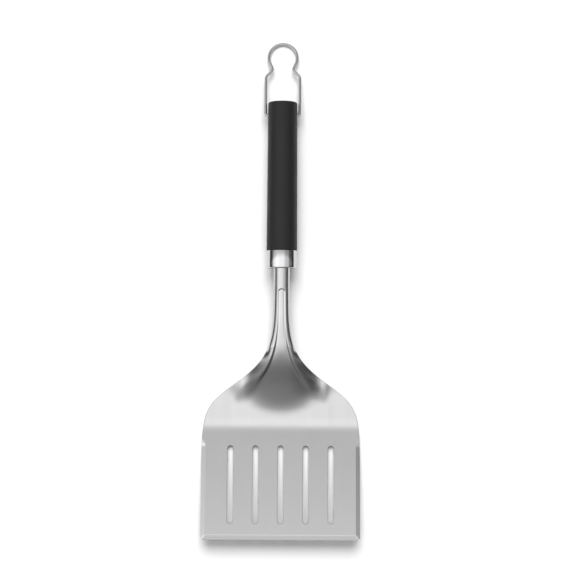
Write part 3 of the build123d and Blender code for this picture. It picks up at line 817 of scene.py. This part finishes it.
grip_profile = with_fine_stretch(grip_profile, PIVOT_AT, *EYE_STRETCH)
grip_profile = denser(grip_profile, 4.0)
grip_surface = lathe(grip_profile, segments=320, dip=eye_dip)
make_piece("soft_grip", *grip_surface, RUBBER, "tool", "grip_sleeve", "grip_rubber")

# %% End plug
PLUG_R = 8.5
PLUG_START = 118.0
PLUG_END = 135.9
HOLLOW_R = 5.5
HOLLOW_END = PLUG_START + 11
DISH_R = 5.6
DISH_FLOOR = PLUG_END - 0.6
plug_corners = [
    (0, HOLLOW_END), (HOLLOW_R, HOLLOW_END), (HOLLOW_R, PLUG_START), (PLUG_R, PLUG_START),
    (PLUG_R, PLUG_END), (DISH_R + 0.8, PLUG_END), (DISH_R, DISH_FLOOR), (0, DISH_FLOOR),
]
plug_profile = rounded_line(plug_corners, (0.5, 0.3, 0.3, 0.6, 0.3, 0.3))
make_piece("end_cap", *lathe(plug_profile), PLUG, "tool", "end_plug", "plug_plastic")

# %% [markdown]
# ## The hanging loop
# One length of hard spring wire: its ends point into the handle, the legs run out past the grip, pinch
# in and open into a ring. It is a circle carried along a flat path of straight runs and arcs. In a flat
# path the circle never twists, so two directions are enough: the path's own plane and its normal.

# %% The wire's path, mm from the pivot
LOOP_HALF = 14.0
LOOP_STUB = 6.0
LOOP_TOP_R = 11.7
LOOP_TOP_AT = 49.8
LOOP_TOP_ANGLE = math.radians(205.0)
LOOP_THROAT = 6.0
LOOP_BENDS = (2.6, 5.0, 3.0)

sine, cosine = math.sin(LOOP_TOP_ANGLE), math.cos(LOOP_TOP_ANGLE)
ring_start = np.array([cosine, sine]) * LOOP_TOP_R + [0, LOOP_TOP_AT]
pinch = ring_start + LOOP_THROAT * np.array([-sine, cosine])
shoulder = np.array([-LOOP_HALF, pinch[1] - (LOOP_HALF + pinch[0])])
side = rounded_line(
    [(-LOOP_STUB, 0), (-LOOP_HALF, 0), shoulder, pinch, ring_start], LOOP_BENDS, steps=14
)
side = denser(side, 1.2)
turn = np.linspace(LOOP_TOP_ANGLE, math.pi - LOOP_TOP_ANGLE, 81)[1:-1, None]
ring = LOOP_TOP_R * np.concatenate([np.cos(turn), np.sin(turn)], axis=1) + [0, LOOP_TOP_AT]
wire_line = np.concatenate([side, ring, side[::-1] * [-1, 1]])
print(f"wire {np.linalg.norm(np.diff(wire_line, axis=0), axis=1).sum():.0f} mm long")

# %% Circle along the path
eye = np.array(mounts["hanging_loop_eye"]["pos_m"]) - PIVOT
LOOP_OUT = eye / np.linalg.norm(eye)
LOOP_UP = np.cross(ACROSS, LOOP_OUT)


def wire_tube(line, radius, sides=28):
    """A tube along a flat line: centre + R cos(t) * in-plane normal + R sin(t) * plane normal."""
    heading = np.gradient(line, axis=0)
    heading /= np.linalg.norm(heading, axis=1, keepdims=True)
    outward = np.stack([heading[:, 1], -heading[:, 0]], -1)
    line = np.concatenate([line[:1], line[:1], line, line[-1:], line[-1:]])
    outward = np.concatenate([outward[:1], outward[:1], outward, outward[-1:], outward[-1:]])
    size = np.concatenate([[0, 0.85 * radius], np.full(len(line) - 4, radius), [0.85 * radius, 0]])
    t = np.linspace(0, 2 * math.pi, sides, endpoint=False)
    flat = line[:, None] + outward[:, None] * (size[:, None] * np.cos(t))[..., None]
    lift = size[:, None] * np.sin(t)
    spread = flat[..., :1] * ACROSS + flat[..., 1:] * LOOP_OUT + lift[..., None] * LOOP_UP
    count = np.arange(len(line) * sides).reshape(-1, sides)
    return (PIVOT + spread * MM).reshape(-1, 3), grid_faces(closed(count))


make_piece("hanging_wire", *wire_tube(wire_line, WIRE_R), WIRE, "loop", "hanging_loop", "wire_steel")

# %% [markdown]
# ## Finishes of the hidden pieces
# What sits inside the handle keeps its CAD shape. Each of those nodes gets the finish listed for it
# below.

# %% CAD nodes
for node, finish in {
    "handle_core": CORE, "tang_rod": ZINC, "spring_pin": ZINC, "tang_washer": ZINC,
    "spring_washer": ZINC, "tang_nut": ZINC,
}.items():
    frame["nodes"][node].data.materials.clear()
    frame["nodes"][node].data.materials.append(finish)
print("hidden pieces finished")

# %% [markdown]
# ## Floor, light and camera
# The tool lies on a plain white floor. A big overhead softbox is what makes brushed steel read: the
# level parts mirror it and turn bright, the steep parts mirror the darker room below it. The sky here
# is that softbox, worked out from direction alone. One wide sun, high up beyond the handle's end, adds
# the soft shadow. The steel doesn't mirror the sun. The floor carries painted shade in the steel's
# reflections: its colour turns dark away from the tool, as a room where only the table is lit would be.

# %% Floor
FLOOR_HALF = 8.0
FLOOR_WHITE = (0.86, 0.86, 0.86)
# Painted shade: in the steel's reflections the floor's colour is painted this dark away from the tool
FLOOR_PAINTED_SHADE = (0.05, 0.05, 0.05)  # what the steel sees of it far from the tool
FLOOR_NEAR_SHARE = 0.20  # share of the dim colour close to the tool
FLOOR_LIT = (0.08, 0.14)  # the lit strip's half width, and where it has faded, m
corners = [(x * FLOOR_HALF, y * FLOOR_HALF, 0) for x, y in ((-1, -1), (1, -1), (1, 1), (-1, 1))]
floor_mesh = bpy.data.meshes.new("floor")
floor_mesh.from_pydata(corners, [], [(0, 1, 2, 3)])
floor = bpy.data.objects.new("floor", floor_mesh)
bpy.context.scene.collection.objects.link(floor)
floor_finish, floor_tree, floor_shader = new_material("white_floor", Roughness=0.9)
floor_shader.inputs["Specular IOR Level"].default_value = 0.1
floor_path = add(floor_tree, "ShaderNodeLightPath", (200, 200))
floor_place = add(floor_tree, "ShaderNodeTexCoord", (-800, -200))
floor_parts = add(floor_tree, "ShaderNodeSeparateXYZ", (-600, -200))
floor_aside = add(floor_tree, "ShaderNodeMath", (-400, -200), operation="ABSOLUTE")
floor_tree.links.new(floor_place.outputs["Object"], floor_parts.inputs[0])
floor_tree.links.new(floor_parts.outputs["X"], floor_aside.inputs[0])
floor_far = ramp_between(
    floor_tree, floor_aside.outputs[0], (-200, -200), FLOOR_NEAR_SHARE, 1.0, span=FLOOR_LIT
)
# painted shade: only glossy rays see the floor darkened, by this share
floor_painted_shade = add(floor_tree, "ShaderNodeMath", (400, 0), operation="MULTIPLY")
floor_tree.links.new(floor_path.outputs["Is Glossy Ray"], floor_painted_shade.inputs[0])
floor_tree.links.new(floor_far, floor_painted_shade.inputs[1])
floor_seen = colour_between(floor_tree, floor_painted_shade.outputs[0], (550, 200), FLOOR_WHITE, FLOOR_PAINTED_SHADE)
floor_tree.links.new(floor_seen, floor_shader.inputs["Base Color"])
floor_mesh.materials.append(floor_finish)
print(f"floor {2 * FLOOR_HALF:.0f} m wide")


# %% Sky: a softbox overhead in a dim room
def band(tree, value, place, points):
    """A smooth curve through (position, level) points of a value from 0 to 1."""
    node = add(tree, "ShaderNodeValToRGB", place)
    node.color_ramp.interpolation = "EASE"
    while len(node.color_ramp.elements) < len(points):
        node.color_ramp.elements.new(0.5)
    for element, (position, level) in zip(node.color_ramp.elements, points):
        element.position = position
        element.color = (level, level, level, 1)
    tree.links.new(value, node.inputs[0])
    return node.outputs[0]


SKY_STRENGTH = 1.2
BACKDROP = (0.82, 0.82, 0.82)  # what the camera sees of the room

world = bpy.data.worlds.new("softbox_room")
world.use_nodes = True
bpy.context.scene.world = world
sky = world.node_tree
backdrop = sky.nodes["Background"]
direction = add(sky, "ShaderNodeTexCoord", (-1200, 0))
parts = add(sky, "ShaderNodeSeparateXYZ", (-1000, 0))
sky.links.new(direction.outputs["Generated"], parts.inputs[0])


def angle_from_up(component, place):
    """atan2(component, up), carried from -90..90 degrees to 0..1."""
    bend = add(sky, "ShaderNodeMath", place, operation="ARCTAN2")
    sky.links.new(parts.outputs[component], bend.inputs[0])
    sky.links.new(parts.outputs["Z"], bend.inputs[1])
    share = add(sky, "ShaderNodeMapRange", (place[0] + 200, place[1]))
    share.inputs["From Min"].default_value = -math.pi / 2
    share.inputs["From Max"].default_value = math.pi / 2
    sky.links.new(bend.outputs[0], share.inputs["Value"])
    return share.outputs["Result"]


def at_degrees(*pairs):
    """(degrees from straight up, level) pairs to positions from 0 to 1."""
    return [((degrees + 90) / 180, level) for degrees, level in pairs]


lengthways = band(sky, angle_from_up("Y", (-800, 200)), (-350, 200), at_degrees(
    (-90, 0.12), (-57, 0.16), (-42, 0.23), (-24, 0.38), (-14, 0.68), (-7, 1.0), (5, 1.0), (12, 0.52),
    (20, 0.46), (32, 0.40), (60, 0.38), (90, 0.3),
))
sideways = band(sky, angle_from_up("X", (-800, -200)), (-350, -200), at_degrees(
    (-90, 0.02), (-82, 0.16), (-74, 0.38), (-60, 0.95), (-34, 1.15), (-8, 1.0), (10, 0.98), (34, 0.58),
    (48, 0.57), (62, 0.21), (80, 0.15), (90, 0.02),
))
both = add(sky, "ShaderNodeMath", (0, 0), operation="MULTIPLY")
sky.links.new(lengthways, both.inputs[0])
sky.links.new(sideways, both.inputs[1])
seen_by = add(sky, "ShaderNodeLightPath", (0, 300))
shown = colour_between(sky, seen_by.outputs["Is Camera Ray"], (200, 0), (0, 0, 0), BACKDROP)
sky.links.new(both.outputs[0], shown.node.inputs["A"])
sky.links.new(shown, backdrop.inputs["Color"])
backdrop.inputs["Strength"].default_value = SKY_STRENGTH
print("sky:", len(sky.nodes), "nodes")

# %% Key light
SUN_FROM = Vector((-0.02, 0.78, 1.0))  # the way to it: high up and beyond the handle's end
sun = bpy.data.lights.new("key", "SUN")
sun.energy = 3.2
sun.angle = math.radians(38)
key = bpy.data.objects.new("key", sun)
key.rotation_euler = SUN_FROM.to_track_quat("Z", "Y").to_euler()
key.visible_glossy = False  # the steel mirrors the softbox alone
bpy.context.scene.collection.objects.link(key)
print("key light:", sun.energy, "W/m2 from", tuple(SUN_FROM))

# %% Camera, straight above
LENS = 100.0
SENSOR = 36.0
VIEW_WIDTH = 0.4723  # m
LEVEL = 0.012  # height at which the view is that wide, m
AIM = (0.0052, 0.0019)  # the point straight under the camera, m
ROLL = 0.36  # degrees
camera_data = bpy.data.cameras.new("camera")
camera_data.lens = LENS
camera_data.sensor_width = SENSOR
camera = bpy.data.objects.new("camera", camera_data)
camera.location = (*AIM, LEVEL + VIEW_WIDTH * LENS / SENSOR)
camera.rotation_euler = (0, 0, math.radians(ROLL))
bpy.context.scene.collection.objects.link(camera)
bpy.context.scene.camera = camera
bpy.context.scene.view_settings.view_transform = "Standard"
print(f"camera {camera.location.z:.2f} m up, view {VIEW_WIDTH:.3f} m wide")

# %% The end
print("done")
